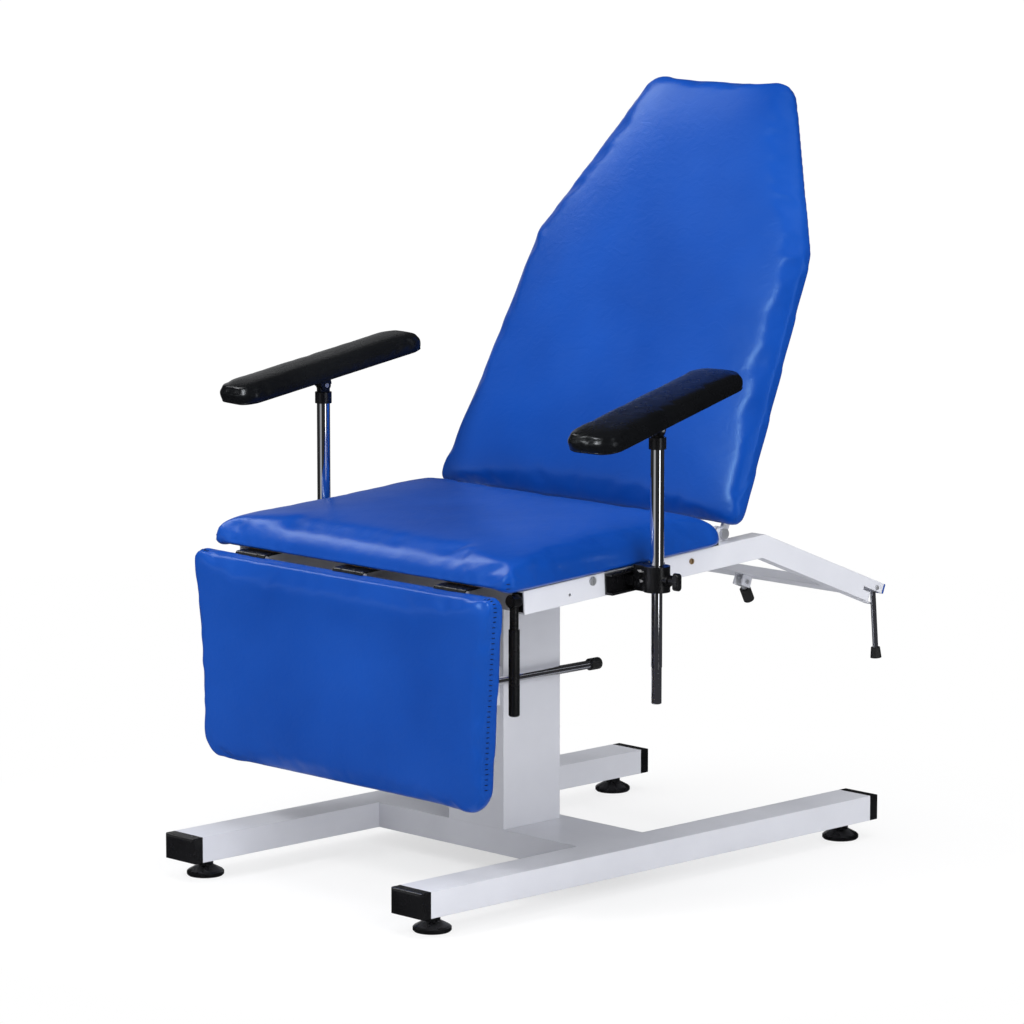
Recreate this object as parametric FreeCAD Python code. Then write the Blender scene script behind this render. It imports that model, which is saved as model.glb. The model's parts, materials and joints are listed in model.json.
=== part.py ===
import FreeCAD, Part
import math
import os

# Blood-draw recliner chair: white steel base and seat frame, three vinyl cushions, two armrests.
# Frame: origin on the floor in the middle of the base, +Z up, +Y towards the head, -Y towards the
# feet, +X to the patient's left. All lengths in millimetres, angles in degrees. The pieces are drawn
# about the middle of the column and moved to that origin as they are written.

Vector = FreeCAD.Vector
ORIGIN = Vector(0, 0, 0)
X_AXIS = Vector(1, 0, 0)
Y_AXIS = Vector(0, 1, 0)
Z_AXIS = Vector(0, 0, 1)

FIT = 0.05                  # radial clearance of every running fit
WALL = 2.5                  # wall of the steel tubes

# Base
FOOT_HEIGHT = 26.0
FOOT_RADIUS = 26.0
FOOT_STEM_RADIUS = 5.0
FOOT_INSET = 30.0           # from the end of the steel rail
RAIL_WIDTH = 60.0
RAIL_HEIGHT = 36.0
RAIL_SPACING = 460.0
RAIL_FRONT = -386.0
RAIL_REAR = 480.0
CAP_THICKNESS = 18.0
PLUG_DEPTH = 15.0
RAIL_TOP = FOOT_HEIGHT + RAIL_HEIGHT
BASE_MIDDLE = (RAIL_FRONT + RAIL_REAR) / 2
COLUMN_SIZE = 110.0
COLUMN_WALL = 3.0
BEAM_DEPTH = 128.0          # front face of the beam is flush with the column

# Seat frame, built level and then pitched nose down about the line PIVOT_Z above the column
PITCH = 3.0
PIVOT_Z = 445.0
FRAME_BOTTOM = 429.0
FRAME_TOP = 461.0
FRAME_OUTER = 285.0         # half width over the seat rails
FRAME_RAIL_WIDTH = 25.0
FRAME_FRONT = -240.0
BEND_Y = 228.0
BEND_ANGLE = 24.6
ARM_LENGTH = 268.0
FRAME_INNER = FRAME_OUTER - FRAME_RAIL_WIDTH
FRAME_HEIGHT = FRAME_TOP - FRAME_BOTTOM
ARM_END = BEND_Y + ARM_LENGTH
HEAD_PLATE_THICKNESS = 8.0
LARGE_SCREW = (-112.0, 453.0, 6.0, 3.0)     # y, z, head radius, shank radius
SMALL_SCREW = (79.0, 448.0, 4.0, 2.0)
SPARE_HOLE = (-155.0, 441.5, 2.0)           # y, z, radius

# Seat
SPACER = 4.0
BOARD = 12.0
SEAT_WIDTH = 600.0
SEAT_FRONT = -283.0
SEAT_REAR = 138.0
SEAT_TOP = 507.0
BOARD_INSET = 14.0
SEAT_ROUND = 14.0           # rounding of the cushions' front edges
PANEL_ROUND = 12.0
SEAT_BOARD_BOTTOM = FRAME_TOP + SPACER

# Leg panel
LEG_FRONT = -318.0
LEG_BACK = -288.0
LEG_TOP = 449.0
LEG_BOTTOM = 151.0
LEG_TOP_WIDTH = 608.0
LEG_BOTTOM_WIDTH = 564.0
LEG_AXIS_Y = -291.4         # leg hinge line
LEG_AXIS_Z = 445.3
LEG_HINGES = (-200.0, 0.0, 200.0)
KNUCKLE_RADIUS = 4.5
REBATE_BOTTOM = 438.5       # step along the rear of the top edge that makes room for the hinges
LEAF = 2.5

# Stay rod beside the column
STAY_X = 66.0
STAY_Z = 277.0
STAY_PIVOT_Y = LEG_BACK + 12
STAY_RADIUS = 6.0
STAY_END = 102.0            # rear end of the bare rod, where its cap starts
GUIDE_Y = -128.0
GUIDE_DROP = 25.0           # how far the rod sinks in the slot in mid travel

# Backrest, described along its length and behind its front face
BACK_Y = 138.0
BACK_Z = 497.0
BACK_TILT = 25.5
BACK_START = 4.0
BACK_SHOULDER = 404.0
BACK_LENGTH = 656.0
BACK_WIDTH = 602.0
BACK_SHOULDER_WIDTH = 538.0
BACK_TOP_WIDTH = 274.0
BACK_THICKNESS = 34.0
BACK_AXIS_Y = 161.0
BACK_AXIS_Z = 479.0
HINGE_PIN_RADIUS = 4.0
LUG_RADIUS = 9.0            # small enough for the foot of the cushion to pass behind it
ARM_PLATE_X0 = 252.0        # hinge arm, just inside the seat rail
ARM_PLATE_X1 = 257.0

# Gas spring between the arm cross bar and the backrest
SPRING_UPPER_ALONG = 70.0
SPRING_UPPER_BEHIND = 64.0
SPRING_LOWER_ALONG = 200.0  # from the bend, along the arm
SPRING_LOWER_DEPTH = 4.0    # below the top face of the arm
CYLINDER_RADIUS = 11.0
CYLINDER_START = 26.0       # far enough from the pin to clear the bracket when it swings down
CYLINDER_END = 146.0
SPRING_ROD_RADIUS = 5.0
CHEEK = 3.0
CHEEK_INNER = 9.0

# Armrests
POST_X = 333.0
POST_Y = -38.0
POST_BOTTOM = 277.0
POST_STEP = 466.0
POST_TOP = 637.0
POST_RADIUS = 7.5
SLEEVE_RADIUS = 9.5
TIP_RADIUS = 7.0
TIP_LENGTH = 50.0
CHANNEL_HALF = 51.0         # half length along the rail
CHANNEL_LOW = 430.5
CHANNEL_HIGH = 459.5
CHANNEL_DEPTH = 14.0
CHANNEL_WALL = 3.0
CLAMP_BOTTOM = 430.0
CLAMP_TOP = 465.0
CLAMP_RADIUS = 18.0
BOLT_X = 312.0
BOLT_ZS = (439.5, 453.0)
KNOB_Z = 447.0
KNOB_DEPTH = 9.0
KNOB_WIDTH = 10.0
KNOB_HEIGHT = 24.0
TILT_Z = 649.0
PAD_LENGTH = 320.0
PAD_WIDTH = 88.0
PAD_THICKNESS = 26.0
PAD_PLATE = 4.0
PAD_TILT = 11.0             # front end low
PAD_SWIVEL = 8.0            # front end turned outwards
PAD_RISE = 10.0             # from the tilt pin to the plate

# Levers
LEVER_X = 275.0
LEVER_Y = -248.5
LEVER_Z = 435.0
LEVER_BOTTOM = 280.0
ARM_LEVER_X = 277.0
LEVER_NOTCH_X = ARM_LEVER_X - 5.5
HANDLE_X = 82.0
HANDLE_STEM = 28.0          # from the pivot to the end of the bare stem
HANDLE_END = 34.0           # and to the end of the grip


def box(x0, x1, y0, y1, z0, z1):
    return Part.makeBox(x1 - x0, y1 - y0, z1 - z0, Vector(x0, y0, z0))


def rod(start, end, radius):
    axis = end.sub(start)
    return Part.makeCylinder(radius, axis.Length, start, axis)


def rod_x(x0, x1, y, z, radius):
    return rod(Vector(x0, y, z), Vector(x1, y, z), radius)


def prism_x(points, x0, x1):
    """A side view, given as (y, z) points, run from x0 to x1."""
    corners = [Vector(x0, y, z) for y, z in points]
    face = Part.Face(Part.makePolygon(corners + corners[:1]))
    return face.extrude(Vector(x1 - x0, 0, 0))


def fuse(shapes):
    whole = shapes[0]
    for shape in shapes[1:]:
        whole = whole.fuse(shape)
    return whole.removeSplitter()


def turned(shape, centre, axis, angle):
    copy = shape.copy()
    copy.rotate(centre, axis, angle)
    return copy


def mirrored(shape):
    return shape.mirror(ORIGIN, X_AXIS)


def both_sides(shape):
    return Part.makeCompound([shape, mirrored(shape)])


def pitched(shape):
    """Tip a level seat-frame shape nose down."""
    return turned(shape, Vector(0, 0, PIVOT_Z), X_AXIS, PITCH)


def armed(shape):
    """Place a shape drawn on a straight rail onto the arm that bends down behind the seat."""
    bent = turned(shape, Vector(0, BEND_Y, FRAME_TOP), X_AXIS, -BEND_ANGLE)
    return pitched(bent)


def reclined(shape):
    """Place a backrest shape, drawn upright with its front face on y = 0 and its foot on z = 0."""
    leaned = turned(shape, ORIGIN, X_AXIS, -BACK_TILT)
    leaned.translate(Vector(0, BACK_Y, BACK_Z))
    return leaned


def point_of(shape_move, y, z):
    """Where a point of the side view lands after one of the moves above."""
    return shape_move(Part.Vertex(Vector(0, y, z))).Point


def outline(corners):
    """A face in the XY plane from (x, y, radius) corners listed in order."""
    edges = []
    count = len(corners)
    ends = []
    for i in range(count):
        before = Vector(*corners[i - 1][:2], 0)
        here = Vector(*corners[i][:2], 0)
        after = Vector(*corners[(i + 1) % count][:2], 0)
        radius = corners[i][2]
        back = before.sub(here).normalize()
        ahead = after.sub(here).normalize()
        half = back.getAngle(ahead) / 2
        reach = radius / math.tan(half)
        middle = back.add(ahead).normalize()
        centre = here.add(middle.multiply(radius / math.sin(half)))
        start = here.add(Vector(back).multiply(reach))
        end = here.add(Vector(ahead).multiply(reach))
        towards = here.sub(centre).normalize().multiply(radius)
        ends.append((start, end))
        edges.append(Part.Arc(start, centre.add(towards), end).toShape())
    for i in range(count):
        edges.append(Part.makeLine(ends[i - 1][1], ends[i][0]))
    return Part.Face(Part.Wire(Part.__sortEdges__(edges)))


def slab(corners, thickness):
    """The outline above, stood upright: x stays, y becomes z, and the slab grows towards +Y."""
    face = turned(outline(corners), ORIGIN, X_AXIS, 90)
    return face.extrude(Vector(0, thickness, 0))


def edges_on(shape, axis, value):
    """Edges of a shape that lie wholly at one value of x, y or z."""
    found = []
    for edge in shape.Edges:
        if all(abs(getattr(v.Point, axis) - value) < 0.01 for v in edge.Vertexes):
            found.append(edge)
    return found


def tube_y(x0, x1, y0, y1, z0, z1):
    """A rectangular tube that runs along Y with open ends."""
    outer = box(x0, x1, y0, y1, z0, z1)
    return outer.cut(box(x0 + WALL, x1 - WALL, y0, y1, z0 + WALL, z1 - WALL))


def tube_x(x0, x1, y0, y1, z0, z1):
    outer = box(x0, x1, y0, y1, z0, z1)
    return outer.cut(box(x0, x1, y0 + WALL, y1 - WALL, z0 + WALL, z1 - WALL))


# ---- base -------------------------------------------------------------------------------------

def foot_places():
    front = RAIL_FRONT + FOOT_INSET
    rear = RAIL_REAR - FOOT_INSET
    return {
        "front_left": (RAIL_SPACING / 2, front),
        "front_right": (-RAIL_SPACING / 2, front),
        "rear_left": (RAIL_SPACING / 2, rear),
        "rear_right": (-RAIL_SPACING / 2, rear),
    }


def base_rail(side):
    middle = side * RAIL_SPACING / 2
    half = RAIL_WIDTH / 2
    rail = tube_y(middle - half, middle + half, RAIL_FRONT, RAIL_REAR, FOOT_HEIGHT, RAIL_TOP)
    for x, y in foot_places().values():
        if x * side > 0:
            hole = rod(Vector(x, y, 0), Vector(x, y, FOOT_HEIGHT + WALL), FOOT_STEM_RADIUS + FIT)
            rail = rail.cut(hole)
    return rail


def base_cross_beam():
    inner = RAIL_SPACING / 2 - RAIL_WIDTH / 2
    front = -COLUMN_SIZE / 2
    return tube_x(-inner, inner, front, front + BEAM_DEPTH, FOOT_HEIGHT, RAIL_TOP)


def base_end_cap(y, outwards):
    """Moulded cap: a rounded flange over the rail's end and a hollow plug inside it."""
    half = RAIL_WIDTH / 2
    flange = box(-half, half, 0, CAP_THICKNESS, FOOT_HEIGHT, RAIL_TOP)
    flange = flange.makeFillet(4.0, edges_on(flange, "y", CAP_THICKNESS))
    gap = WALL + FIT
    inside = 3 * gap
    plug = box(-half + gap, half - gap, -PLUG_DEPTH, 0, FOOT_HEIGHT + gap, RAIL_TOP - gap)
    hollow = box(
        -half + inside, half - inside, -PLUG_DEPTH, 0, FOOT_HEIGHT + inside, RAIL_TOP - inside,
    )
    cap = fuse([flange, plug.cut(hollow)])
    if outwards < 0:
        cap = turned(cap, ORIGIN, Z_AXIS, 180)
    cap.translate(Vector(0, y, 0))
    return cap


def base_end_caps():
    caps = []
    for x in (-RAIL_SPACING / 2, RAIL_SPACING / 2):
        for y, outwards in ((RAIL_FRONT, -1), (RAIL_REAR, 1)):
            cap = base_end_cap(y, outwards)
            cap.translate(Vector(x, 0, 0))
            caps.append(cap)
    return Part.makeCompound(caps)


def levelling_foot(x, y):
    """Disc, cone, neck and stem, turned in one piece and screwed right in, neck against the rail."""
    disc = 8.0
    neck = 11.0
    stem_top = FOOT_HEIGHT + 24.0
    edge = 2.0
    profile = [
        (0, 0),
        (FOOT_RADIUS - edge, 0),
        (FOOT_RADIUS, edge),
        (FOOT_RADIUS, disc - edge),
        (FOOT_RADIUS - edge, disc),
        (neck, disc + 7),
        (neck, FOOT_HEIGHT),
        (FOOT_STEM_RADIUS, FOOT_HEIGHT),
        (FOOT_STEM_RADIUS, stem_top),
        (0, stem_top),
    ]
    points = [Vector(r, 0, z) for r, z in profile]
    face = Part.Face(Part.makePolygon(points + points[:1]))
    foot = face.revolve(ORIGIN, Z_AXIS, 360)
    foot.translate(Vector(x, y, 0))
    return foot


def column():
    half = COLUMN_SIZE / 2
    tall = FRAME_TOP
    outer = box(-half, half, -half, half, RAIL_TOP, tall)
    bore = half - COLUMN_WALL
    inner = box(-bore, bore, -bore, bore, RAIL_TOP, tall)
    above = pitched(box(-200, 200, -200, 200, FRAME_BOTTOM - HEAD_PLATE_THICKNESS, tall + 100))
    return outer.cut(inner).cut(above)


def column_head_plate():
    plate = box(-95, 95, -75, 75, FRAME_BOTTOM - HEAD_PLATE_THICKNESS, FRAME_BOTTOM)
    return pitched(plate)


def stay_rod_guide():
    """Angle plate on the front of the column with a tall slot for the stay rod."""
    half = COLUMN_SIZE / 2
    low = STAY_Z - GUIDE_DROP - STAY_RADIUS - 8
    high = STAY_Z + STAY_RADIUS + 10
    inner = 46.0
    outer = STAY_X + STAY_RADIUS + 5
    arm = box(inner, inner + 3, GUIDE_Y, -half, low, high)
    plate = box(inner, outer, GUIDE_Y - 1.5, GUIDE_Y + 1.5, low, high)
    width = STAY_RADIUS + 0.5
    slot = box(
        STAY_X - width, STAY_X + width, GUIDE_Y - 3, GUIDE_Y + 3,
        STAY_Z - GUIDE_DROP - STAY_RADIUS, STAY_Z + STAY_RADIUS + 3,
    )
    return fuse([arm, plate]).cut(slot)


# ---- seat frame -------------------------------------------------------------------------------

def rail_side(inset, overrun):
    """Side view of a seat rail shrunk by inset, with its ends run on by overrun."""
    lean = math.tan(math.radians(BEND_ANGLE / 2))
    along = Vector(0, math.cos(math.radians(BEND_ANGLE)), -math.sin(math.radians(BEND_ANGLE)))
    down = Vector(0, along.z, -along.y)
    corner = Vector(0, BEND_Y, FRAME_TOP)
    end = corner.add(Vector(along).multiply(ARM_LENGTH + overrun))
    top_end = end.add(Vector(down).multiply(inset))
    low_end = end.add(Vector(down).multiply(FRAME_HEIGHT - inset))
    return [
        (FRAME_FRONT - overrun, FRAME_TOP - inset),
        (BEND_Y - inset * lean, FRAME_TOP - inset),
        (top_end.y, top_end.z),
        (low_end.y, low_end.z),
        (BEND_Y - (FRAME_HEIGHT - inset) * lean, FRAME_BOTTOM + inset),
        (FRAME_FRONT - overrun, FRAME_BOTTOM + inset),
    ]


def seat_rail_blank():
    outer = prism_x(rail_side(0, 0), FRAME_INNER, FRAME_OUTER)
    inner = prism_x(rail_side(WALL, 5), FRAME_INNER + WALL, FRAME_OUTER - WALL)
    rail = outer.cut(inner)
    holes = [SPARE_HOLE]
    for y, z, head, shank in (LARGE_SCREW, SMALL_SCREW):
        holes.append((y, z, shank + FIT))
    for y, z, radius in holes:
        rail = rail.cut(rod_x(FRAME_OUTER - WALL - 1, FRAME_OUTER + 1, y, z, radius))
    return pitched(rail)


def arm_lever_notch():
    """Opening in the end of the left arm: an open notch and a short slot ahead of it."""
    notch = box(LEVER_NOTCH_X, FRAME_OUTER + 1, ARM_END - 24, ARM_END + 1, FRAME_BOTTOM - 1, 447)
    slot = box(FRAME_OUTER - WALL - 1, FRAME_OUTER + 1, ARM_END - 40, ARM_END - 24, 442, 447)
    return armed(fuse([notch, slot]))


def arm_pin_point():
    return point_of(armed, ARM_END - 13, 452)


def arm_pin(x0, x1, radius):
    at = arm_pin_point()
    return rod_x(x0, x1, at.y, at.z, radius)


def seat_rail_left():
    hole = arm_pin(FRAME_INNER - 1, FRAME_OUTER + 1, 3 + FIT)
    return seat_rail_blank().cut(arm_lever_notch()).cut(hole)


def seat_rail_right():
    return mirrored(seat_rail_blank())


def seat_cross_tubes():
    tubes = []
    for y0, y1 in ((-232, -202), (-55, -25), (25, 55)):
        tubes.append(tube_x(-FRAME_INNER, FRAME_INNER, y0, y1, FRAME_BOTTOM, FRAME_TOP))
    return pitched(Part.makeCompound(tubes))


def arm_cross_bar():
    """Flat bar between the two arms, with two lugs under it for the hanging handle."""
    y = BEND_Y + SPRING_LOWER_ALONG
    low = FRAME_BOTTOM + 2
    bar = box(-FRAME_INNER, FRAME_INNER, y - 20, y + 20, low, low + 12)
    lug = box(HANDLE_X - 9, HANDLE_X - 6, y - 9, y + 9, low - 16, low)
    other = box(HANDLE_X + 6, HANDLE_X + 9, y - 9, y + 9, low - 16, low)
    holes = rod_x(HANDLE_X - 12, HANDLE_X + 12, y, low - 9, 3 + FIT)
    return armed(fuse([bar, lug, other]).cut(holes))


def arm_end_plugs():
    flange = box(FRAME_INNER, FRAME_OUTER, ARM_END, ARM_END + 5, 447, FRAME_TOP)
    flange = flange.makeFillet(2.5, edges_on(flange, "y", ARM_END + 5))
    gap = WALL + FIT
    plug = box(
        FRAME_INNER + gap, FRAME_OUTER - gap, ARM_END - 4, ARM_END, 450, FRAME_TOP - gap,
    )
    return both_sides(armed(fuse([flange, plug])))


def seat_board_spacers():
    pads = []
    for y in (-190, 95):
        pads.append(box(FRAME_INNER + 2, FRAME_OUTER - 1, y, y + 40, FRAME_TOP, FRAME_TOP + SPACER))
    return both_sides(pitched(Part.makeCompound(pads)))


def frame_screws():
    """A large and a small slotted screw in the outer face of each seat rail."""
    screws = []
    face = FRAME_OUTER
    for y, z, head, shank in (LARGE_SCREW, SMALL_SCREW):
        cap = rod_x(face, face + 2.5, y, z, head)
        cap = cap.makeFillet(1.0, edges_on(cap, "x", face + 2.5))
        slot = box(face + 1.3, face + 4, y - 0.6, y + 0.6, z - head, z + head)
        stem = rod_x(face - 8, face, y, z, shank)
        screws.append(fuse([cap.cut(slot), stem]))
    return both_sides(pitched(Part.makeCompound(screws)))


# ---- cushions and boards ----------------------------------------------------------------------

def seat_board():
    half = SEAT_WIDTH / 2 - BOARD_INSET
    low = SEAT_BOARD_BOTTOM
    corners = [
        (-half, SEAT_FRONT + BOARD_INSET, 20),
        (half, SEAT_FRONT + BOARD_INSET, 20),
        (half, SEAT_REAR - BOARD_INSET, 20),
        (-half, SEAT_REAR - BOARD_INSET, 20),
    ]
    board = outline(corners).extrude(Vector(0, 0, BOARD))
    board.translate(Vector(0, 0, low))
    return board


def seat_cushion():
    """Foam and cover: a cap over the board, rolled over at the front edge."""
    half = SEAT_WIDTH / 2
    low = SEAT_BOARD_BOTTOM + 1
    corners = [
        (-half, SEAT_FRONT, 16),
        (half, SEAT_FRONT, 16),
        (half, SEAT_REAR, 26),
        (-half, SEAT_REAR, 26),
    ]
    block = outline(corners).extrude(Vector(0, 0, SEAT_TOP - low))
    block.translate(Vector(0, 0, low))
    block = block.makeFillet(SEAT_ROUND, edges_on(block, "z", SEAT_TOP))
    return block.cut(seat_board())


def leg_corners(inset):
    top = LEG_TOP_WIDTH / 2 - inset
    low = LEG_BOTTOM_WIDTH / 2 - inset
    return [
        (-low, LEG_BOTTOM + inset, 42 - inset),
        (low, LEG_BOTTOM + inset, 42 - inset),
        (top, LEG_TOP - inset, 16 - inset),
        (-top, LEG_TOP - inset, 16 - inset),
    ]


def leg_board():
    board = slab(leg_corners(BOARD_INSET - 2), BOARD)
    board.translate(Vector(0, LEG_BACK - BOARD, 0))
    return board


def leg_cushion():
    """Foam and cover: a shell over the board, stepped back along the top to clear the hinges."""
    half = LEG_TOP_WIDTH / 2
    block = slab(leg_corners(0), LEG_BACK - LEG_FRONT - 1)
    block.translate(Vector(0, LEG_FRONT, 0))
    block = block.makeFillet(PANEL_ROUND, edges_on(block, "y", LEG_FRONT))
    rebate = box(-half, half, LEG_BACK - BOARD, LEG_BACK, REBATE_BOTTOM, LEG_TOP)
    return block.cut(rebate).cut(leg_board())


def back_corners(inset):
    foot = BACK_WIDTH / 2 - inset
    shoulder = BACK_SHOULDER_WIDTH / 2 - inset
    top = BACK_TOP_WIDTH / 2 - inset * 0.7
    return [
        (-foot, BACK_START + inset, 20 - inset),
        (foot, BACK_START + inset, 20 - inset),
        (shoulder, BACK_SHOULDER, 60),
        (top, BACK_LENGTH - inset, 46 - inset),
        (-top, BACK_LENGTH - inset, 46 - inset),
        (-shoulder, BACK_SHOULDER, 60),
    ]


def backrest_board_upright():
    board = slab(back_corners(BOARD_INSET - 2), BOARD)
    board.translate(Vector(0, BACK_THICKNESS - BOARD, 0))
    return board


def backrest_board():
    return reclined(backrest_board_upright())


def backrest_cushion():
    block = slab(back_corners(0), BACK_THICKNESS - 1)
    block = block.makeFillet(PANEL_ROUND, edges_on(block, "y", 0))
    return reclined(block.cut(backrest_board_upright()))


# ---- leg hinges and stay rod ------------------------------------------------------------------

def leg_hinge_knuckle(x0, x1):
    return rod_x(x0, x1, LEG_AXIS_Y, LEG_AXIS_Z, KNUCKLE_RADIUS)


def leg_pin_bore(x):
    return rod_x(x - 40, x + 40, LEG_AXIS_Y, LEG_AXIS_Z, 2.5 + FIT)


def leg_hinge_fixed_leaves():
    """Leaf under the seat board with a knuckle at each side."""
    leaves = []
    top = SEAT_BOARD_BOTTOM
    for x in LEG_HINGES:
        leaf = pitched(box(x - 30, x + 30, LEG_AXIS_Y + 1, FRAME_FRONT + 4, top - LEAF, top))
        gap = rod_x(x - 15, x + 15, LEG_AXIS_Y, LEG_AXIS_Z, 5.5)
        leaf = leaf.cut(gap)
        knuckles = [leg_hinge_knuckle(x - 30, x - 15), leg_hinge_knuckle(x + 15, x + 30)]
        leaves.append(fuse([leaf] + knuckles).cut(leg_pin_bore(x)))
    return Part.makeCompound(leaves)


def leg_hinge_moving_leaves():
    """Leaf on the back of the leg board with a tongue up to the middle knuckle."""
    leaves = []
    rear = LEG_BACK + LEAF
    shoulder = REBATE_BOTTOM - 2
    for x in LEG_HINGES:
        strap = box(x - 30, x + 30, LEG_BACK, rear, shoulder - 30, shoulder)
        tongue = box(x - 14, x + 14, LEG_BACK, rear, shoulder, LEG_AXIS_Z)
        knuckle = leg_hinge_knuckle(x - 14, x + 14)
        leaves.append(fuse([strap, tongue, knuckle]).cut(leg_pin_bore(x)))
    return Part.makeCompound(leaves)


def leg_hinge_pins():
    pins = [rod_x(x - 32, x + 32, LEG_AXIS_Y, LEG_AXIS_Z, 2.5) for x in LEG_HINGES]
    return Part.makeCompound(pins)


def stay_rod_bracket():
    """Two lugs on the back of the leg board with the pin of the stay rod between them."""
    inner = 6.5
    lug = 3.0
    base = box(
        STAY_X - inner - lug, STAY_X + inner + lug, LEG_BACK, LEG_BACK + 3, STAY_Z - 18, STAY_Z + 18,
    )
    parts = [base]
    for x in (STAY_X - inner - lug, STAY_X + inner):
        parts.append(box(x, x + lug, LEG_BACK, STAY_PIVOT_Y + 8, STAY_Z - 9, STAY_Z + 9))
    parts.append(rod_x(STAY_X - inner - lug - 2, STAY_X + inner + lug + 2, STAY_PIVOT_Y, STAY_Z, 3))
    return fuse(parts)


def stay_rod():
    eye = rod_x(STAY_X - 6, STAY_X + 6, STAY_PIVOT_Y, STAY_Z, 7)
    bar = rod(
        Vector(STAY_X, STAY_PIVOT_Y + 4, STAY_Z), Vector(STAY_X, STAY_END + 12, STAY_Z), STAY_RADIUS,
    )
    bore = rod_x(STAY_X - 10, STAY_X + 10, STAY_PIVOT_Y, STAY_Z, 3 + FIT)
    return fuse([eye, bar]).cut(bore)


def stay_rod_cap():
    cap = rod(Vector(STAY_X, STAY_END, STAY_Z), Vector(STAY_X, STAY_END + 20, STAY_Z), 8.5)
    cap = cap.makeFillet(3.0, edges_on(cap, "y", STAY_END + 20))
    bore = rod(Vector(STAY_X, STAY_END, STAY_Z), Vector(STAY_X, STAY_END + 12, STAY_Z), STAY_RADIUS)
    return cap.cut(bore)


# ---- backrest hinges and gas spring -----------------------------------------------------------

def backrest_hinge_lugs():
    """Rounded lugs welded to the top of the seat rails, drilled for the hinge pins."""
    at = Vector(0, BACK_AXIS_Y, BACK_AXIS_Z)
    eye = rod_x(FRAME_INNER + 1, FRAME_INNER + 7, at.y, at.z, LUG_RADIUS)
    foot = box(
        FRAME_INNER + 1, FRAME_INNER + 7, at.y - 24, at.y + LUG_RADIUS, FRAME_TOP - 20, at.z,
    )
    below = pitched(box(0, 400, 0, 400, FRAME_TOP - 60, FRAME_TOP))
    bore = rod_x(FRAME_INNER - 9, FRAME_INNER + 19, at.y, at.z, HINGE_PIN_RADIUS + FIT)
    return both_sides(fuse([eye, foot]).cut(below).cut(bore))


def backrest_hinge_pins():
    stem = rod_x(ARM_PLATE_X0 - 4, FRAME_INNER + 9, BACK_AXIS_Y, BACK_AXIS_Z, HINGE_PIN_RADIUS)
    head = rod_x(FRAME_INNER + 7, FRAME_INNER + 11, BACK_AXIS_Y, BACK_AXIS_Z, 7.5)
    return both_sides(fuse([stem, head]))


def back_axis_upright():
    """The hinge line in the upright drawing of the backrest: (behind, along)."""
    back = Part.Vertex(Vector(0, BACK_AXIS_Y - BACK_Y, BACK_AXIS_Z - BACK_Z))
    back.rotate(ORIGIN, X_AXIS, BACK_TILT)
    return back.Point


def backrest_hinge_arms():
    """Flat arm from the hinge pin round the foot of the board, with a flange screwed to the board."""
    axis = back_axis_upright()
    rear = BACK_THICKNESS
    eye = rod_x(ARM_PLATE_X0, ARM_PLATE_X1, axis.y, axis.z, 9.5)
    foot = box(ARM_PLATE_X0, ARM_PLATE_X1, axis.y, rear + 12, axis.z - 9.5, axis.z + 9.5)
    leg = box(ARM_PLATE_X0, ARM_PLATE_X1, rear, rear + 12, axis.z, 120)
    flange = box(ARM_PLATE_X0 - 25, ARM_PLATE_X1, rear, rear + 3, 20, 120)
    bore = rod_x(ARM_PLATE_X0 - 5, ARM_PLATE_X1 + 5, axis.y, axis.z, HINGE_PIN_RADIUS + FIT)
    return both_sides(reclined(fuse([eye, foot, leg, flange]).cut(bore)))


def cheeks(y0, y1, z0, z1):
    """A pair of bracket cheeks either side of the gas spring's eye."""
    outer = CHEEK_INNER + CHEEK
    return [box(-outer, -CHEEK_INNER, y0, y1, z0, z1), box(CHEEK_INNER, outer, y0, y1, z0, z1)]


def spring_upper_bracket():
    rear = BACK_THICKNESS
    along = SPRING_UPPER_ALONG
    behind = SPRING_UPPER_BEHIND
    base = box(-18, 18, rear, rear + 3, along - 35, along + 35)
    pair = cheeks(rear, behind + 9, along - 14, along + 14)
    bore = rod_x(-20, 20, behind, along, 4)
    return reclined(fuse([base] + pair).cut(bore))


def spring_lower_bracket():
    y = BEND_Y + SPRING_LOWER_ALONG
    z = FRAME_TOP - SPRING_LOWER_DEPTH
    low = FRAME_BOTTOM + 14
    base = box(-18, 18, y - 18, y + 18, low, low + 3)
    pair = cheeks(y - 10, y + 10, low, z + 9)
    bore = rod_x(-20, 20, y, z, 4 + FIT)
    return armed(fuse([base] + pair).cut(bore))


def spring_ends():
    lower = point_of(armed, BEND_Y + SPRING_LOWER_ALONG, FRAME_TOP - SPRING_LOWER_DEPTH)
    upper = point_of(reclined, SPRING_UPPER_BEHIND, SPRING_UPPER_ALONG)
    return lower, upper


def along_spring(distance):
    lower, upper = spring_ends()
    return lower.add(upper.sub(lower).normalize().multiply(distance))


def gas_spring_cylinder():
    lower = spring_ends()[0]
    eye = rod_x(-7, 7, lower.y, lower.z, 8)
    neck = rod(along_spring(4), along_spring(CYLINDER_START), 6)
    body = rod(along_spring(CYLINDER_START), along_spring(CYLINDER_END), CYLINDER_RADIUS)
    inside = rod(along_spring(CYLINDER_START + 4), along_spring(CYLINDER_END - 6), CYLINDER_RADIUS - 2)
    mouth = rod(along_spring(CYLINDER_END - 8), along_spring(CYLINDER_END), SPRING_ROD_RADIUS + FIT)
    bore = rod_x(-10, 10, lower.y, lower.z, 4 + FIT)
    return fuse([eye, neck, body]).cut(inside).cut(mouth).cut(bore)


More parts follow.
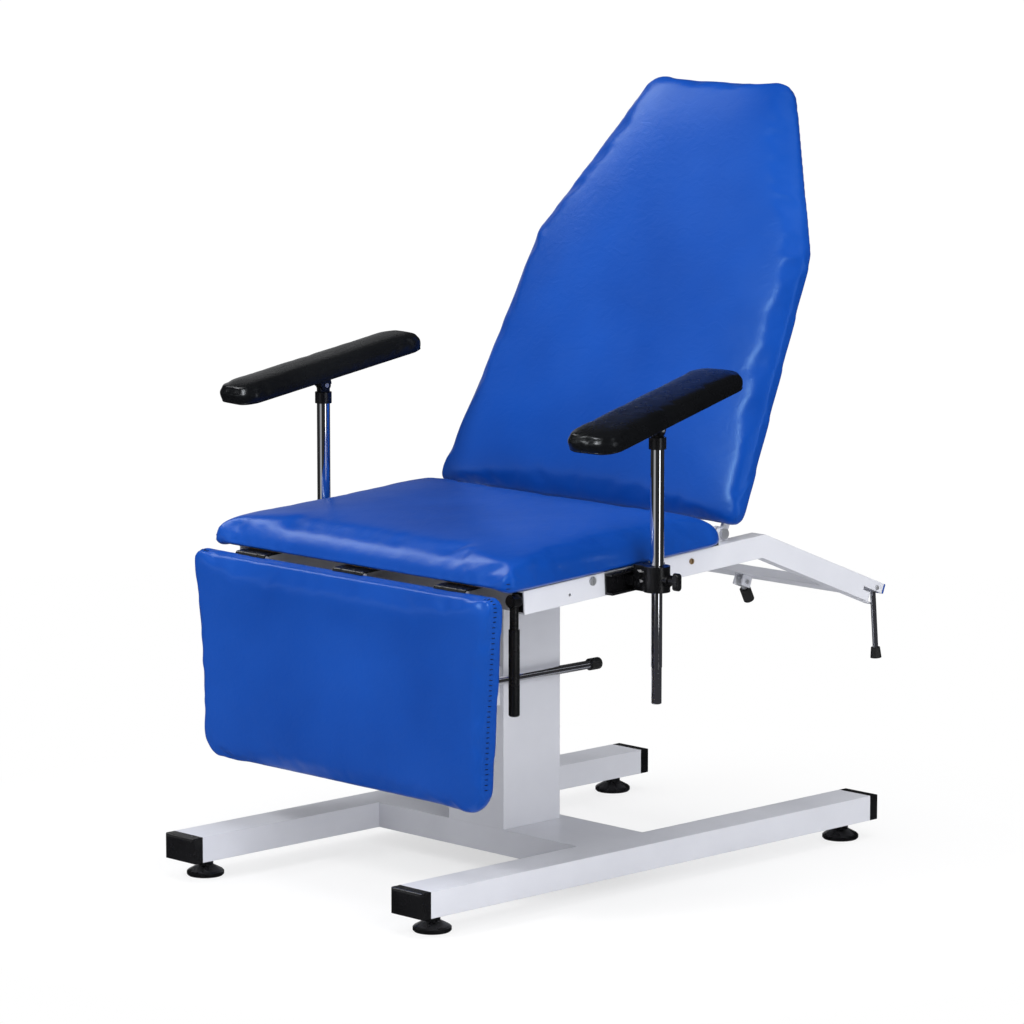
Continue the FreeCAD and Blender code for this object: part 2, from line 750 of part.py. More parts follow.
def gas_spring_rod():
    lower, upper = spring_ends()
    length = upper.sub(lower).Length
    stem = rod(along_spring(CYLINDER_END - 40), along_spring(length - 4), SPRING_ROD_RADIUS)
    eye = rod_x(-7, 7, upper.y, upper.z, 8)
    piston = rod(along_spring(CYLINDER_END - 44), along_spring(CYLINDER_END - 34), 8.5)
    bore = rod_x(-10, 10, upper.y, upper.z, 4)
    return fuse([piston, stem, eye]).cut(bore)


# ---- levers -----------------------------------------------------------------------------------

def front_lever():
    """Boss that turns on the end of the seat rail, with a stem hanging down from it."""
    boss = rod(Vector(LEVER_X, LEVER_Y - 7, LEVER_Z), Vector(LEVER_X, LEVER_Y + 7, LEVER_Z), 9)
    stem = rod(
        Vector(LEVER_X, LEVER_Y, LEVER_Z - 5), Vector(LEVER_X, LEVER_Y, LEVER_BOTTOM + 8), 6,
    )
    bore = rod(Vector(LEVER_X, LEVER_Y - 9, LEVER_Z), Vector(LEVER_X, LEVER_Y + 9, LEVER_Z), 4 + FIT)
    return fuse([boss, stem]).cut(bore)


def front_lever_grip():
    top = LEVER_Z - 38
    grip = rod(Vector(LEVER_X, LEVER_Y, LEVER_BOTTOM), Vector(LEVER_X, LEVER_Y, top), 7.5)
    grip = grip.makeFillet(3.0, edges_on(grip, "z", LEVER_BOTTOM))
    bore = rod(Vector(LEVER_X, LEVER_Y, LEVER_BOTTOM + 8), Vector(LEVER_X, LEVER_Y, top), 6)
    return grip.cut(bore)


def front_lever_bolt():
    """Shoulder bolt through the lever's boss into a block in the end of the seat rail."""
    stem = rod(Vector(LEVER_X, LEVER_Y - 7.2, LEVER_Z), Vector(LEVER_X, FRAME_FRONT + 12, LEVER_Z), 4)
    head = rod(Vector(LEVER_X, LEVER_Y - 9.3, LEVER_Z), Vector(LEVER_X, LEVER_Y - 7.2, LEVER_Z), 7)
    slack = WALL + 0.3
    block = pitched(box(
        FRAME_INNER + slack, FRAME_OUTER - slack, FRAME_FRONT, FRAME_FRONT + 20,
        FRAME_BOTTOM + slack, FRAME_TOP - slack,
    ))
    return fuse([stem, head, block])


def release_handle_point():
    return point_of(armed, BEND_Y + SPRING_LOWER_ALONG, FRAME_BOTTOM + 2 - 9)


def handle_point(distance):
    """A point on the handle, which hangs with its lower end towards the head."""
    lean = math.radians(27)
    at = release_handle_point()
    return Vector(HANDLE_X, at.y + distance * math.sin(lean), at.z - distance * math.cos(lean))


def release_handle():
    at = release_handle_point()
    eye = rod_x(HANDLE_X - 5.5, HANDLE_X + 5.5, at.y, at.z, 7)
    stem = rod(handle_point(0), handle_point(HANDLE_STEM), 4.5)
    bore = rod_x(HANDLE_X - 8, HANDLE_X + 8, at.y, at.z, 3 + FIT)
    return fuse([eye, stem]).cut(bore)


def release_handle_grip():
    grip = rod(handle_point(12), handle_point(HANDLE_END), 8.0)
    middle = handle_point((12 + HANDLE_END) / 2)
    ends = [e for e in grip.Edges if e.Closed and e.CenterOfMass.z < middle.z]
    grip = grip.makeFillet(3.0, ends)
    return grip.cut(rod(handle_point(12), handle_point(HANDLE_STEM), 4.5))


def arm_lever_end(distance):
    at = arm_pin_point()
    lean = math.radians(5)
    return Vector(ARM_LEVER_X, at.y + distance * math.sin(lean), at.z - distance * math.cos(lean))


def arm_lever():
    at = arm_pin_point()
    eye = rod_x(ARM_LEVER_X - 4, ARM_LEVER_X + 4, at.y, at.z, 5.5)
    stem = rod(arm_lever_end(3), arm_lever_end(96), 4)
    bore = rod_x(ARM_LEVER_X - 6, ARM_LEVER_X + 6, at.y, at.z, 3 + FIT)
    return fuse([eye, stem]).cut(bore)


def arm_lever_tip():
    start = arm_lever_end(88)
    tip = Part.makeCone(6.5, 8, 15, start, arm_lever_end(103).sub(start))
    return tip.cut(rod(arm_lever_end(88), arm_lever_end(96), 4))


def pivot_pins():
    """Pins of the arm lever, the hanging handle and the lower end of the gas spring."""
    lower = spring_ends()[0]
    handle = release_handle_point()
    outer = CHEEK_INNER + CHEEK + 2
    spring_pin = rod_x(-outer, outer, lower.y, lower.z, 4)
    handle_pin = rod_x(HANDLE_X - 11, HANDLE_X + 11, handle.y, handle.z, 3)
    lever_pin = arm_pin(FRAME_INNER - 2, FRAME_OUTER + 2, 3)
    return Part.makeCompound([spring_pin, handle_pin, lever_pin])


# ---- armrests ---------------------------------------------------------------------------------

def armrest_channels():
    """Channel bolted to the rail's outer face, open outwards."""
    x = FRAME_OUTER
    y0 = POST_Y - CHANNEL_HALF
    y1 = POST_Y + CHANNEL_HALF
    outer = box(x, x + CHANNEL_DEPTH, y0, y1, CHANNEL_LOW, CHANNEL_HIGH)
    inner = box(
        x + CHANNEL_WALL, x + CHANNEL_DEPTH, y0, y1,
        CHANNEL_LOW + CHANNEL_WALL, CHANNEL_HIGH - CHANNEL_WALL,
    )
    return both_sides(pitched(outer.cut(inner)))


def armrest_clamp():
    """Clamp block: a tongue in the channel and a split ring round the post."""
    web = FRAME_OUTER + CHANNEL_WALL
    tongue = box(web, web + 14, POST_Y - 15, POST_Y + 15, 436.0, 450.0)
    neck = box(web + 14, POST_X, POST_Y - 13, POST_Y + 13, CLAMP_BOTTOM, CLAMP_TOP)
    ring = rod(Vector(POST_X, POST_Y, CLAMP_BOTTOM), Vector(POST_X, POST_Y, CLAMP_TOP), CLAMP_RADIUS)
    boss = rod_x(POST_X + 12, POST_X + 24, POST_Y, KNOB_Z, 8)
    post = rod(Vector(POST_X, POST_Y, 400), Vector(POST_X, POST_Y, 500), POST_RADIUS + FIT)
    split = box(web + 18, POST_X, POST_Y - 1, POST_Y + 1, CLAMP_BOTTOM - 1, CLAMP_TOP + 1)
    shank = rod_x(POST_X, POST_X + 30, POST_Y, KNOB_Z, 4 + FIT)
    block = fuse([tongue, neck, ring, boss]).cut(post).cut(split).cut(shank)
    for z in BOLT_ZS:
        bolt = rod(Vector(BOLT_X, POST_Y - 30, z), Vector(BOLT_X, POST_Y + 30, z), 3 + FIT)
        block = block.cut(bolt)
    return block


def armrest_clamps():
    return both_sides(armrest_clamp())


def hex_prism(x, y0, y1, z, flat):
    """A hexagon across flats that runs along Y."""
    radius = flat / math.sqrt(3)
    points = []
    for i in range(6):
        angle = math.radians(60 * i + 30)
        points.append(Vector(x + radius * math.cos(angle), y0, z + radius * math.sin(angle)))
    face = Part.Face(Part.makePolygon(points + points[:1]))
    return face.extrude(Vector(0, y1 - y0, 0))


def armrest_clamp_bolts():
    bolts = []
    face = POST_Y - 13
    rear = POST_Y + 13
    for z in BOLT_ZS:
        head = hex_prism(BOLT_X, face - 4, face, z, 10)
        stem = rod(Vector(BOLT_X, face, z), Vector(BOLT_X, rear + 7, z), 3)
        nut = hex_prism(BOLT_X, rear, rear + 5, z, 10)
        bolts.append(fuse([head, stem, nut]))
    return both_sides(Part.makeCompound(bolts))


def armrest_post():
    """Stepped post: wide upper sleeve, sliding rod, slightly thinner tip."""
    def length(z0, z1, radius):
        return rod(Vector(POST_X, POST_Y, z0), Vector(POST_X, POST_Y, z1), radius)
    tip = length(POST_BOTTOM, POST_BOTTOM + TIP_LENGTH, TIP_RADIUS)
    tip = tip.makeChamfer(1.0, edges_on(tip, "z", POST_BOTTOM))
    low = length(POST_BOTTOM + TIP_LENGTH, POST_STEP, POST_RADIUS)
    sleeve = length(POST_STEP, POST_TOP - 14, SLEEVE_RADIUS)
    spigot = length(POST_TOP - 14, POST_TOP, POST_RADIUS)
    return fuse([tip, low, sleeve, spigot])


def armrest_knob():
    """Wing knob, a short rounded bar, on a screw that presses on the post."""
    inner = POST_X + 33
    outer = inner + KNOB_DEPTH
    shank = rod_x(POST_X + POST_RADIUS + 0.5, inner + 2, POST_Y, KNOB_Z, 4)
    collar = rod_x(POST_X + 24.5, inner, POST_Y, KNOB_Z, 5.5)
    half = KNOB_WIDTH / 2
    end = KNOB_HEIGHT / 2 - half
    bar = box(inner, outer, POST_Y - half, POST_Y + half, KNOB_Z - end, KNOB_Z + end)
    tips = [rod_x(inner, outer, POST_Y, KNOB_Z + side * end, half) for side in (-1, 1)]
    head = fuse([bar] + tips)
    head = head.makeFillet(2.0, edges_on(head, "x", outer))
    return fuse([shank, collar, head])


def swivelled(shape):
    return turned(shape, Vector(POST_X, POST_Y, 0), Z_AXIS, PAD_SWIVEL)


def armrest_hub():
    """Cup that turns on the top of the post, with a tongue for the tilt pin."""
    low = POST_TOP - 14
    cup = rod(Vector(POST_X, POST_Y, low), Vector(POST_X, POST_Y, POST_TOP + 2), 12)
    bore = rod(Vector(POST_X, POST_Y, low), Vector(POST_X, POST_Y, POST_TOP), POST_RADIUS + FIT)
    tongue = box(POST_X - 5, POST_X + 5, POST_Y - 8, POST_Y + 8, POST_TOP, TILT_Z)
    head = rod_x(POST_X - 5, POST_X + 5, POST_Y, TILT_Z, 8)
    pin = rod_x(POST_X - 15, POST_X + 15, POST_Y, TILT_Z, 3 + FIT)
    return swivelled(fuse([cup.cut(bore), tongue, head]).cut(pin))


def armrest_tilt_pin():
    return swivelled(rod_x(POST_X - 10, POST_X + 10, POST_Y, TILT_Z, 3))


def tilted(shape):
    """Tip a pad shape front end down about the tilt pin, then swivel it."""
    return swivelled(turned(shape, Vector(0, POST_Y, TILT_Z), X_AXIS, PAD_TILT))


def armrest_plate():
    """Flat steel plate under the pad with two lugs either side of the hub's tongue."""
    low = TILT_Z + PAD_RISE
    plate = box(POST_X - 22, POST_X + 22, POST_Y - 110, POST_Y + 110, low, low + PAD_PLATE)
    parts = [plate]
    for x in (POST_X - 8.5, POST_X + 5.5):
        parts.append(box(x, x + 3, POST_Y - 9, POST_Y + 9, TILT_Z, low))
        parts.append(rod_x(x, x + 3, POST_Y, TILT_Z, 7.5))
    bore = rod_x(POST_X - 15, POST_X + 15, POST_Y, TILT_Z, 3 + FIT)
    return tilted(fuse(parts).cut(bore))


def armrest_pad():
    low = TILT_Z + PAD_RISE + PAD_PLATE
    half = PAD_WIDTH / 2
    length = PAD_LENGTH / 2
    corners = [
        (POST_X - half, POST_Y - length, 30),
        (POST_X + half, POST_Y - length, 30),
        (POST_X + half, POST_Y + length, 24),
        (POST_X - half, POST_Y + length, 24),
    ]
    pad = outline(corners).extrude(Vector(0, 0, PAD_THICKNESS))
    pad.translate(Vector(0, 0, low))
    pad = pad.makeFillet(9.0, edges_on(pad, "z", low + PAD_THICKNESS))
    return tilted(pad)


def armrest_parts(side, suffix):
    """One armrest; the right one is the mirror image of the left one."""
    parts = {
        "armrest_post": armrest_post(),
        "armrest_knob": armrest_knob(),
        "armrest_hub": armrest_hub(),
        "armrest_tilt_pin": armrest_tilt_pin(),
        "armrest_plate": armrest_plate(),
        "armrest_pad": armrest_pad(),
    }
    if side < 0:
        parts = {name: mirrored(shape) for name, shape in parts.items()}
    return {name + suffix: shape for name, shape in parts.items()}


# ---- assembly ---------------------------------------------------------------------------------

def all_parts():
    parts = {
        "base_rail_left": base_rail(1),
        "base_rail_right": base_rail(-1),
        "base_cross_beam": base_cross_beam(),
        "base_end_caps": base_end_caps(),
        "column": column(),
        "column_head_plate": column_head_plate(),
        "stay_rod_guide": stay_rod_guide(),
        "seat_rail_left": seat_rail_left(),
        "seat_rail_right": seat_rail_right(),
        "seat_cross_tubes": seat_cross_tubes(),
        "arm_cross_bar": arm_cross_bar(),
        "arm_end_plugs": arm_end_plugs(),
        "seat_board": pitched(seat_board()),
        "seat_cushion": pitched(seat_cushion()),
        "seat_board_spacers": seat_board_spacers(),
        "frame_screws": frame_screws(),
        "leg_board": leg_board(),
        "leg_cushion": leg_cushion(),
        "leg_hinge_fixed_leaves": leg_hinge_fixed_leaves(),
        "leg_hinge_moving_leaves": leg_hinge_moving_leaves(),
        "leg_hinge_pins": leg_hinge_pins(),
        "stay_rod_bracket": stay_rod_bracket(),
        "stay_rod": stay_rod(),
        "stay_rod_cap": stay_rod_cap(),
        "backrest_board": backrest_board(),
        "backrest_cushion": backrest_cushion(),
        "backrest_hinge_lugs": backrest_hinge_lugs(),
        "backrest_hinge_pins": backrest_hinge_pins(),
        "backrest_hinge_arms": backrest_hinge_arms(),
        "spring_upper_bracket": spring_upper_bracket(),
        "spring_lower_bracket": spring_lower_bracket(),
        "gas_spring_cylinder": gas_spring_cylinder(),
        "gas_spring_rod": gas_spring_rod(),
        "front_lever": front_lever(),
        "front_lever_grip": front_lever_grip(),
        "front_lever_bolt": front_lever_bolt(),
        "release_handle": release_handle(),
        "release_handle_grip": release_handle_grip(),
        "arm_lever": arm_lever(),
        "arm_lever_tip": arm_lever_tip(),
        "pivot_pins": pivot_pins(),
        "armrest_channels": armrest_channels(),
        "armrest_clamps": armrest_clamps(),
        "armrest_clamp_bolts": armrest_clamp_bolts(),
    }
    for place, (x, y) in foot_places().items():
        parts["levelling_foot_" + place] = levelling_foot(x, y)
    parts.update(armrest_parts(1, "_left"))
    parts.update(armrest_parts(-1, "_right"))
    return parts


os.makedirs("parts", exist_ok=True)
for name, shape in all_parts().items():
    shape.translate(Vector(0, -BASE_MIDDLE, 0))
    shape.exportStep("parts/" + name + ".step")
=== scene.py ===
import json
import math

import bpy
import numpy as np
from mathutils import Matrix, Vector
from mathutils.bvhtree import BVHTree
from mathutils.kdtree import KDTree


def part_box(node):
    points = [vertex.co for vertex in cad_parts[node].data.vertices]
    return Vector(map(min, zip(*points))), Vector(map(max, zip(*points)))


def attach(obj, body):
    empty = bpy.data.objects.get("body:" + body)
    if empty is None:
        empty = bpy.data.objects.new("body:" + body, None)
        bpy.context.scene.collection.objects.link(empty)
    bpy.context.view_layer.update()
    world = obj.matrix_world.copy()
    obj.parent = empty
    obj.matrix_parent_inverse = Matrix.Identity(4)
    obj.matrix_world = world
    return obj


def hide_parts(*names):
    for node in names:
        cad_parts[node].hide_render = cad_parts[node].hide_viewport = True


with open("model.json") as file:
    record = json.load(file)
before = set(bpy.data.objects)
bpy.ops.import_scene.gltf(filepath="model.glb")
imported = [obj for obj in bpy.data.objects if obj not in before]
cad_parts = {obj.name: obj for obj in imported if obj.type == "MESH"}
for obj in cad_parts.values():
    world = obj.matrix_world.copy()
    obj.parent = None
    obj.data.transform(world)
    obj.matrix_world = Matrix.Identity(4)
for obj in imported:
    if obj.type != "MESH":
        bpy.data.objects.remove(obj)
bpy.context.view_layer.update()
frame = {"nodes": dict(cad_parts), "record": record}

# Blood-draw recliner chair round its CAD frame: +Z up, -Y the foot end, +X the patient's left.
# Lengths are in metres.  The cushions are made in the space of their own boards (see Panel).

SLOT_OF = {part["node"]: part["material_slot"] for part in frame["record"]["subparts"]}

# Cushion foam and cover
VOXEL = 0.0060              # grid of the cloth mesh on the big cushions
PAD_VOXEL = 0.0035          # and on the armrest pads
CLOTH_FRAMES = 16
CLOTH_PRESSURE = 4.0        # foam pushing at the cover
CLOTH_STIFFNESS = 15
CLOTH_BENDING = 0.6
CLOTH_SHRINK = -0.02        # the cover is cut this share too large
PIN_DEPTH = 0.006           # the cover is stapled down this close to the back
CUSHION_SWELL = 0.005       # the cloth moves no further than this on a big cushion
PAD_SWELL = 0.002           # and on an armrest pad
COVER_INSET = 0.001         # the cover starts this far inside the CAD solid
TUCK = 0.0015               # and is drawn in this much more under the wall
EDGE_BLEND = 0.12           # share of the crown's reach over which two edges blend
SHORT_EDGE = 0.05           # edges shorter than this weigh less in the blend
CROWN_POWER = 2.3

# Skirt of the seat cover, hanging below the board at both sides
SKIRT_DROP = 0.0035
SKIRT_START = 0.030         # from the side inwards
SKIRT_BLEND = 0.012
SKIRT_HEIGHT = 0.010

# Seams, thread and welts
RIM_STEP = 0.003
SEAM_STEP = 0.0035
SEAM_MERGE = 0.0005         # points of a seam closer than this are one point
GROOVE_DEPTH = 0.0013
GROOVE_WIDTH = 0.0045
CORD_SINK = 0.0006
THREAD_RADIUS = 0.0006
PAD_THREAD_RADIUS = 0.0007
WELT_RADIUS = 0.0013
STITCH_HALF = 0.0022
STITCH_RADIUS = 0.00055
STITCH_RISE = 0.0001

# Dust covers and their staples
LINING_INSET = 0.008
LINING_STEP = 0.010
LINING_RINGS = ((0.0, 0.0), (0.0, 0.0009), (0.5, 0.0012), (0.8, 0.0013))    # (share inwards, sag)
STAPLE_INSET = 0.013
STAPLE_SPACING = 0.032
STAPLE_HALF = 0.005
STAPLE_FOOT = 0.0010
STAPLE_BACK = 0.0016
STAPLE_RADIUS = 0.0005

# Camera
CAMERA_PLACE = (4.757, -4.658, 1.511)
CAMERA_AZIMUTH = math.radians(45.8)
CAMERA_PITCH = math.radians(8.7)
CAMERA_LENS = 169.2         # in millimetres, as the sensor
SENSOR = 36.0

# Floor and lamps
FLOOR_RADIUS = 2.6
FLOOR_SIDES = 96
WINDOW_EDGE = 0.05          # softness of a window's sill and head
LAMP_TARGET = (0, 0, 0.55)


# ---- frames read from the CAD -----------------------------------------------------------------

def node_points(name):
    vertices = frame["nodes"][name].data.vertices
    points = np.empty(len(vertices) * 3)
    vertices.foreach_get("co", points)
    return points.reshape(-1, 3)


def unit(vector):
    return vector / max(np.linalg.norm(vector), 1e-12)


class Panel:
    """Axes of a flat board: u across it, v along it and n out of the face that carries the foam."""

    def __init__(self, board, soft):
        areas = {}
        for polygon in frame["nodes"][board].data.polygons:
            key = tuple(round(c, 2) for c in polygon.normal)
            areas[key] = areas.get(key, 0) + polygon.area
        n = unit(np.array(max(areas, key=areas.get)))
        points = node_points(board)
        towards = node_points(soft).mean(0) - points.mean(0)
        n = n if n @ towards > 0 else -n
        self.origin = points.mean(0)
        across = unit(np.array((1, 0, 0)) - n[0] * n)
        self.axes = np.array([across, np.cross(n, across), n])
        rim = convex(self.local(points)[:, :2])
        edges = np.roll(rim, -1, 0) - rim
        longest = edges[np.linalg.norm(edges, axis=1).argmax()]
        u = unit(longest @ self.axes[:2])
        if abs(u[0]) < 0.7:
            u = np.cross(u, n)
        u = u if u[0] > 0 else -u
        self.axes = np.array([u, np.cross(n, u), n])
        self.outline = convex(self.local(node_points(soft))[:, :2])
        local = self.local(node_points(soft))
        self.low = local[:, 2].min()
        self.high = local[:, 2].max()
        self.board_outline = convex(self.local(points)[:, :2])
        self.board_back = self.local(points)[:, 2].min()

    def local(self, points):
        return (points - self.origin) @ self.axes.T

    def world(self, points):
        return np.asarray(points) @ self.axes + self.origin


def convex(points):
    """Corners of the convex outline round 2-D points, anticlockwise."""
    ordered = sorted(set(map(tuple, np.round(points, 5))))

    def chain(items):
        out = []
        for p in items:
            while len(out) > 1 and turn(out[-2], out[-1], p) <= 1e-9:
                out.pop()
            out.append(p)
        return out[:-1]
    return np.array(chain(ordered) + chain(ordered[::-1]))


def turn(a, b, c):
    return (b[0] - a[0]) * (c[1] - a[1]) - (b[1] - a[1]) * (c[0] - a[0])


def spaced(outline, step):
    """The closed outline as points about step apart."""
    closed = np.vstack([outline, outline[:1]])
    lengths = np.linalg.norm(np.diff(closed, axis=0), axis=1)
    along = np.concatenate([[0], np.cumsum(lengths)])
    count = max(8, int(round(along[-1] / step)))
    places = np.arange(count) * along[-1] / count
    return np.column_stack([np.interp(places, along, closed[:, i]) for i in (0, 1)])


def shrunk(outline, inset):
    """A convex outline moved inwards by inset along its own normals."""
    ahead = np.roll(outline, -1, 0) - np.roll(outline, 1, 0)
    inward = np.column_stack([-ahead[:, 1], ahead[:, 0]])
    inward /= np.linalg.norm(inward, axis=1)[:, None]
    return outline + inward * inset


# ---- meshes -----------------------------------------------------------------------------------

def new_object(name, points, faces, smooth=True):
    mesh = bpy.data.meshes.new(name)
    mesh.from_pydata([tuple(p) for p in points], [], faces)
    mesh.update()
    thing = bpy.data.objects.new(name, mesh)
    bpy.context.scene.collection.objects.link(thing)
    if smooth:
        mesh.polygons.foreach_set("use_smooth", [True] * len(mesh.polygons))
    return thing


def baked(thing):
    """Apply every modifier to the object's own mesh."""
    graph = bpy.context.evaluated_depsgraph_get()
    mesh = bpy.data.meshes.new_from_object(thing.evaluated_get(graph))
    thing.modifiers.clear()
    thing.data = mesh
    mesh.polygons.foreach_set("use_smooth", [True] * len(mesh.polygons))
    return thing


def points_of(thing):
    points = np.empty(len(thing.data.vertices) * 3)
    thing.data.vertices.foreach_get("co", points)
    return points.reshape(-1, 3)


def set_points(thing, points):
    thing.data.vertices.foreach_set("co", np.asarray(points, float).ravel())
    thing.data.update()


def slab(name, outline, low, high):
    count = len(outline)
    rings = [[(u, v, level) for u, v in outline] for level in (low, high)]
    faces = [(i, (i + 1) % count, count + (i + 1) % count, count + i) for i in range(count)]
    faces.append(tuple(range(count - 1, -1, -1)))
    faces.append(tuple(range(count, 2 * count)))
    return new_object(name, rings[0] + rings[1], faces)


def tube(points, radius, sides=8, closed=False):
    """Vertices and faces of a round cord along points."""
    points = np.asarray(points, float)
    count = len(points)
    if closed:
        ahead = np.roll(points, -1, 0) - np.roll(points, 1, 0)
    else:
        ahead = np.gradient(points, axis=0)
    side = np.cross(ahead[0], (0.31, 0.52, 0.79))
    vertices = []
    for place, tangent in zip(points, ahead):
        tangent = unit(tangent)
        side = unit(side - tangent * (side @ tangent))
        other = np.cross(tangent, side)
        for k in range(sides):
            angle = 2 * math.pi * k / sides
            vertices.append(place + radius * (math.cos(angle) * side + math.sin(angle) * other))
    faces = []
    for i in range(count if closed else count - 1):
        for k in range(sides):
            a, b = i * sides, (i + 1) % count * sides
            faces.append((a + k, a + (k + 1) % sides, b + (k + 1) % sides, b + k))
    if not closed:
        faces.append(tuple(range(sides - 1, -1, -1)))
        faces.append(tuple(range((count - 1) * sides, count * sides)))
    return vertices, faces


def joined(name, shapes):
    vertices, faces = [], []
    for shape_vertices, shape_faces in shapes:
        start = len(vertices)
        vertices.extend(shape_vertices)
        faces.extend(tuple(start + i for i in face) for face in shape_faces)
    return new_object(name, vertices, faces)


# ---- cushions ---------------------------------------------------------------------------------

def depths(points, outline, reaches):
    """Depth of each point inside every edge, as a share of that edge's reach (side, foot, head)."""
    side, foot, head = reaches
    along = np.roll(outline, -1, 0) - outline
    length = np.linalg.norm(along, axis=1)
    keep = length > 1e-5
    start, along, length = outline[keep], along[keep], length[keep]
    out = np.column_stack([along[:, 1], -along[:, 0]]) / length[:, None]
    end = np.where(out[:, 1] < 0, foot, head)
    reach = np.hypot(side * out[:, 0], end * out[:, 1])
    inside = (start * out).sum(1)[None, :] - points[:, :2] @ out.T
    return inside / reach[None, :], out, reach, length


def swell(points, outline, reaches):
    """0 at the rim rising smoothly to 1 past the reach, softened where two edges meet."""
    shares, _, _, length = depths(points, outline, reaches)
    weight = np.clip(length / SHORT_EDGE, 0, 1)
    near = -EDGE_BLEND * np.log((weight * np.exp(-shares / EDGE_BLEND)).sum(1))
    return 1 - (1 - np.clip(near, 0, 1)) ** CROWN_POWER


def rolled(points, panel, rims, crowns, wall, drop):
    """Turn a straight-sided slab into a padded cushion: a tight rim, then a long soft crown."""
    base = panel.low + wall
    top = panel.high - 0.3 * COVER_INSET
    shares, outs, reaches, _ = depths(points, panel.outline, rims)
    pick = shares.argmin(1)
    share = np.clip(1 - shares[np.arange(len(points)), pick], 0, 1)
    lift = np.clip((points[:, 2] - base) / (panel.high - base), 0, 1)
    pulled = share * np.sqrt(1 - lift ** 2 / 2)
    raised = lift * np.sqrt(1 - share ** 2 / 2)
    low = np.clip((base - points[:, 2]) / max(wall, 1e-4), 0, 1)
    moved = points.copy()
    tuck = (COVER_INSET + TUCK * low) * share
    moved[:, :2] -= outs[pick] * ((share - pulled) * reaches[pick] + tuck)[:, None]
    crown = swell(points, panel.outline, crowns)
    above = points[:, 2] > base
    moved[above, 2] = (base + raised * (top - base - drop * (1 - crown)))[above]
    return moved


def inflated(thing, panel, cap):
    """Let the cover swell over its foam by cloth simulation, held at the back."""
    before = points_of(thing)
    pins = thing.vertex_groups.new(name="pins")
    pins.add([int(i) for i in np.flatnonzero(before[:, 2] < panel.low + PIN_DEPTH)], 1.0, "ADD")
    cloth = thing.modifiers.new("Cloth", "CLOTH")
    settings = cloth.settings
    settings.vertex_group_mass = "pins"
    settings.use_pressure = True
    settings.uniform_pressure_force = CLOTH_PRESSURE
    settings.effector_weights.gravity = 0
    settings.quality = 4
    settings.mass = 0.3
    settings.tension_stiffness = CLOTH_STIFFNESS
    settings.compression_stiffness = CLOTH_STIFFNESS
    settings.bending_stiffness = CLOTH_BENDING
    settings.shrink_min = CLOTH_SHRINK
    cloth.point_cache.frame_start = 1
    cloth.point_cache.frame_end = CLOTH_FRAMES
    for step in range(1, CLOTH_FRAMES + 1):
        bpy.context.scene.frame_set(step)
    baked(thing)
    shift = points_of(thing) - before
    size = np.linalg.norm(shift, axis=1)
    limit = cap * np.tanh(size / cap) / np.maximum(size, 1e-9)
    set_points(thing, before + shift * limit[:, None])
    bpy.context.scene.frame_set(1)


def smoothed(thing, rounds):
    smooth = thing.modifiers.new("Smooth", "SMOOTH")
    smooth.factor = 0.5
    smooth.iterations = rounds
    baked(thing)


def normals_of(thing):
    normals = np.empty(len(thing.data.vertices) * 3)
    thing.data.vertices.foreach_get("normal", normals)
    return normals.reshape(-1, 3)


def grooved(thing, paths):
    """Press shallow grooves into the cover along the paths."""
    places = np.vstack(paths)
    tree = KDTree(len(places))
    for index, place in enumerate(places):
        tree.insert(Vector(place), index)
    tree.balance()
    points = points_of(thing)
    gaps = np.array([tree.find(Vector(p))[2] for p in points])
    press = GROOVE_DEPTH * np.exp(-(gaps / GROOVE_WIDTH) ** 2)
    set_points(thing, points - normals_of(thing) * press[:, None])


def cushion(name, soft, board, body, rims, crowns, wall, drop, look,
            voxel=VOXEL, cap=CUSHION_SWELL, shape=None, seams=None):
    """Put a padded cover in place of a CAD cushion and return its panel.

    rims and crowns are reaches inwards from the (side, foot, head) edges: of the tight roll over the rim
    and of the long soft rise to the full height.  wall is the upright part of the side, drop is how much
    lower the rim is than the middle, and cap limits the swelling.
    """
    panel = Panel(board, soft)
    thing = slab(name, spaced(panel.outline, voxel), panel.low, panel.high)
    remesh = thing.modifiers.new("Remesh", "REMESH")
    remesh.mode = "VOXEL"
    remesh.voxel_size = voxel
    baked(thing)
    set_points(thing, rolled(points_of(thing), panel, rims, crowns, wall, drop))
    smoothed(thing, 2)
    inflated(thing, panel, cap)
    smoothed(thing, 2)
    if shape:
        set_points(thing, shape(points_of(thing), panel))
    thing.modifiers.new("Subdivision", "SUBSURF").levels = 1
    baked(thing)
    if seams:
        sew(name, thing, panel, body, seams(panel), look)
    set_points(thing, panel.world(points_of(thing)))
    thing.data.materials.append(MATERIALS[look])
    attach(thing, body)
    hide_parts(soft)
    return panel


def resampled(points, step):
    """The path as points about step apart."""
    lengths = np.linalg.norm(np.diff(points, axis=0), axis=1)
    along = np.concatenate([[0], np.cumsum(lengths)])
    count = max(2, int(along[-1] / step) + 1)
    places = np.linspace(0, along[-1], count)
    return np.column_stack([np.interp(places, along, points[:, i]) for i in range(3)])


def laid(thing, path):
    """The nearest points of the cover to a path, with the cover's normals there."""
    mesh = thing.data
    corners = [vertex.co for vertex in mesh.vertices]
    tree = BVHTree.FromPolygons(corners, [tuple(polygon.vertices) for polygon in mesh.polygons])
    found = [tree.find_nearest(Vector(place))[:2] for place in path]
    return np.array([f[0] for f in found]), np.array([f[1] for f in found])


def stitches_of(places, normals, panel):
    """Short threads across a seam, at every other point of it."""
    ahead = np.array([unit(step) for step in np.gradient(places, axis=0)])
    beside = STITCH_HALF * np.cross(ahead, normals)
    middles = places + STITCH_RISE * normals
    return [tube(panel.world([middles[i] - beside[i], middles[i] + beside[i]]), STITCH_RADIUS, 6)
            for i in range(1, len(places) - 1, 2)]


